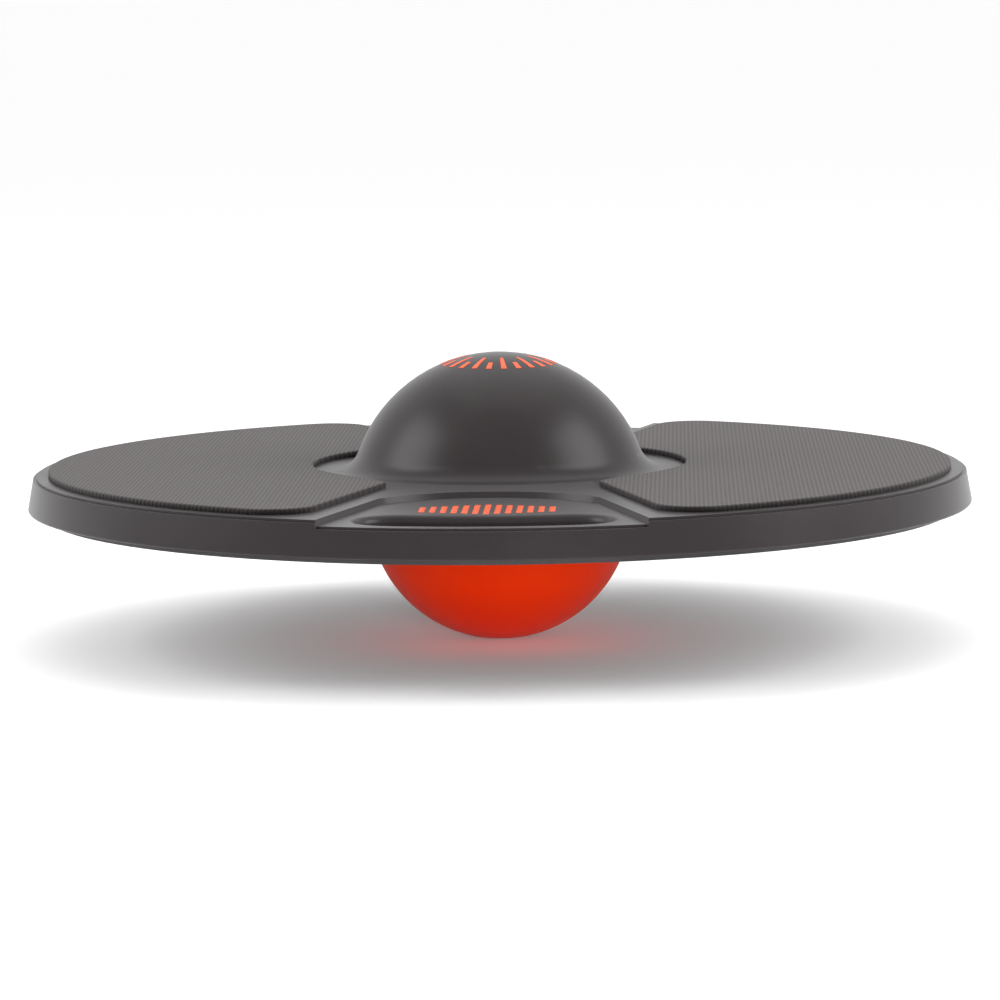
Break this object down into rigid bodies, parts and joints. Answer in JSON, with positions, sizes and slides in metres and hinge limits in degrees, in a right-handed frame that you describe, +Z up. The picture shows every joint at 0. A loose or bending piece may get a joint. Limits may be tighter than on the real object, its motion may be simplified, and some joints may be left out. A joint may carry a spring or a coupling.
{
  "type": "balance dome trainer",
  "caption": "Round two-shell balance deck with a central dome, two foam foot pads and front and back hand slots, standing on a captive ball.",
  "frame": {"origin": "on the floor under the ball's centre", "axes": "+Z up through the dome; the hand slots lie on -Y (front) and +Y (back), the foot pads on -X and +X"},
  "size_m": [0.4996, 0.4996, 0.1514],
  "materials": {
    "deck_plastic": "fine moulded texture, satin",
    "base_plastic": "moulded, matte",
    "seat_plastic": "smooth, low friction",
    "ball_rubber": "smooth satin",
    "valve_rubber": "smooth",
    "pad_foam": "foam with a pressed fine diamond grain",
    "screw_steel": "zinc plated"
  },
  "bodies": {
    "deck": {"top_shell": "deck_plastic", "bottom_shell": "base_plastic", "ball_seat": "seat_plastic", "retaining_ring": "base_plastic", "foot_pad_left": "pad_foam", "foot_pad_right": "pad_foam", "rim_screws": "screw_steel", "hub_screws": "screw_steel", "ring_screws": "screw_steel"},
    "ball": {"ball": "ball_rubber", "ball_valve": "valve_rubber"}
  },
  "joints": [
    {"name": "ball_swivel", "type": "hinge", "parent": "deck", "child": "ball", "pos_m": [0, 0, 0.06859], "axis": [0, 0, 1], "continuous": true}
  ]
}
